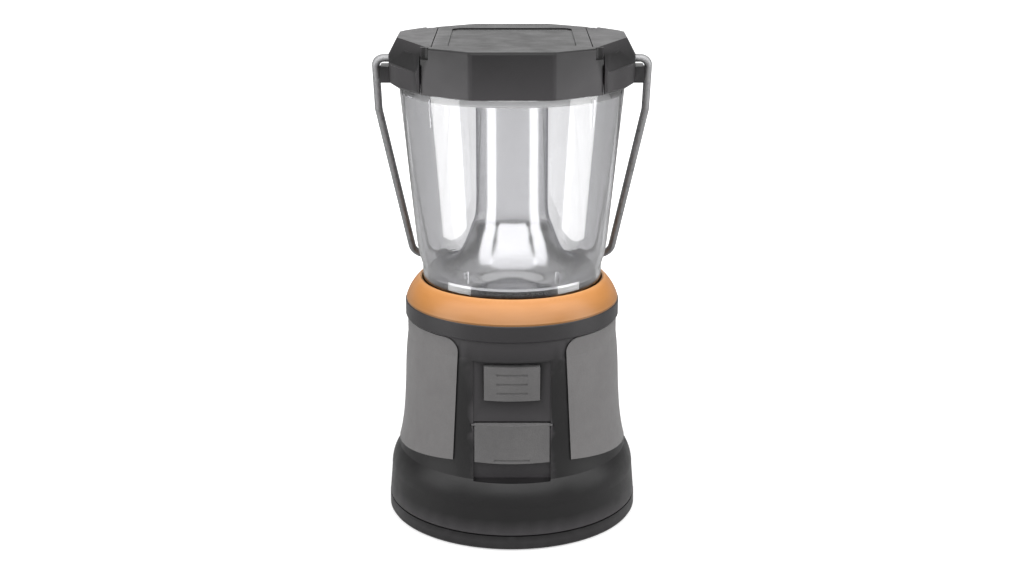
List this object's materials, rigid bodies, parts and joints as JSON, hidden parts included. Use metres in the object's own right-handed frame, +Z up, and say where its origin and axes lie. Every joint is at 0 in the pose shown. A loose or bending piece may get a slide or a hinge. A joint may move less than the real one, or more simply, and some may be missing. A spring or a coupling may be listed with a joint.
{
  "type": "camping lantern",
  "caption": "Battery camping lantern: flared dark base with grey grips and an orange ring, clear conical lens over a chrome trumpet reflector, faceted cap and a swinging wire bail.",
  "frame": {"origin": "centre of the foot ring's underside", "axes": "+Z up through the lens, the controls face -Y, the bail pivots about X"},
  "size_m": [0.1278, 0.119, 0.2264],
  "materials": {
    "housing_black": "fine moulded texture, satin",
    "grip_grey": "soft-touch overmould",
    "button_grey": "soft-touch rubber",
    "accent_orange": "satin moulded",
    "clear_lens": "clear polycarbonate",
    "chrome": "vacuum-plated mirror finish",
    "wire_steel": "bright drawn wire",
    "screw_steel": "zinc plated",
    "aluminium": "pressed",
    "board_green": "solder mask",
    "board_white": "white solder mask",
    "led_yellow": "phosphor",
    "diffuser_white": "frosted",
    "seal_rubber": "moulded",
    "contact_brass": "bright",
    "cell_jacket": "printed jacket, left plain",
    "wire_red": "insulated"
  },
  "bodies": {
    "base": {"base_housing": "housing_black", "control_panel": "housing_black", "cap_core": "housing_black", "cap_saddle": "housing_black", "upper_collar": "housing_black", "top_deck": "housing_black", "battery_sleeve": "housing_black", "upper_contact_plate": "housing_black", "usb_tongue": "housing_black", "switch_body": "housing_black", "driver_chip": "housing_black", "grip_pad_left": "grip_grey", "grip_pad_right": "grip_grey", "accent_ring": "accent_orange", "lens": "clear_lens", "reflector": "chrome", "cap_screws": "screw_steel", "deck_screws": "screw_steel", "driver_screws": "screw_steel", "column_foot_screws": "screw_steel", "column_top_screws": "screw_steel", "switch_screws": "screw_steel", "usb_socket": "screw_steel", "heat_sink": "aluminium", "column_tube": "aluminium", "switch_board": "board_green", "usb_board": "board_green", "driver_board": "board_green", "led_board": "board_white", "led_chips": "led_yellow", "led_diffuser": "diffuser_white", "lens_seal": "seal_rubber", "upper_tabs": "contact_brass", "upper_springs": "contact_brass", "driver_coil": "contact_brass", "d_cell_front_left": "cell_jacket", "d_cell_front_right": "cell_jacket", "d_cell_rear_left": "cell_jacket", "d_cell_rear_right": "cell_jacket", "driver_capacitors": "cell_jacket", "led_wires": "wire_red", "supply_wires": "wire_red"},
    "bail": {"bail": "wire_steel", "bail_clips": "wire_steel"},
    "power_button": {"power_button": "button_grey", "switch_plunger": "seal_rubber"},
    "port_cover": {"port_cover": "button_grey"},
    "contact_carrier": {"lower_contact_plate": "housing_black", "lower_tabs": "contact_brass", "lower_springs": "contact_brass"},
    "battery_cover": {"battery_cover": "housing_black", "foot_ring": "seal_rubber", "cover_seal": "seal_rubber"}
  },
  "joints": [
    {"name": "bail_swing", "type": "hinge", "parent": "base", "child": "bail", "pos_m": [0, 0, 0.217], "axis": [1, 0, 0], "range_deg": [0, 310]},
    {"name": "button_press", "type": "slide", "parent": "base", "child": "power_button", "axis": [0, 1, 0], "range_m": [0, 0.001], "stiffness_N_per_m": 900},
    {"name": "port_cover_hinge", "type": "hinge", "parent": "base", "child": "port_cover", "pos_m": [0, -0.0469, 0.0569], "axis": [-1, 0, 0], "range_deg": [0, 80]},
    {"name": "cover_pull", "type": "slide", "parent": "base", "child": "contact_carrier", "axis": [0, 0, -1], "range_m": [0, 0.04]},
    {"name": "cover_turn", "type": "hinge", "parent": "contact_carrier", "child": "battery_cover", "pos_m": [0, 0, 0], "axis": [0, 0, -1], "range_deg": [0, 30]}
  ]
}
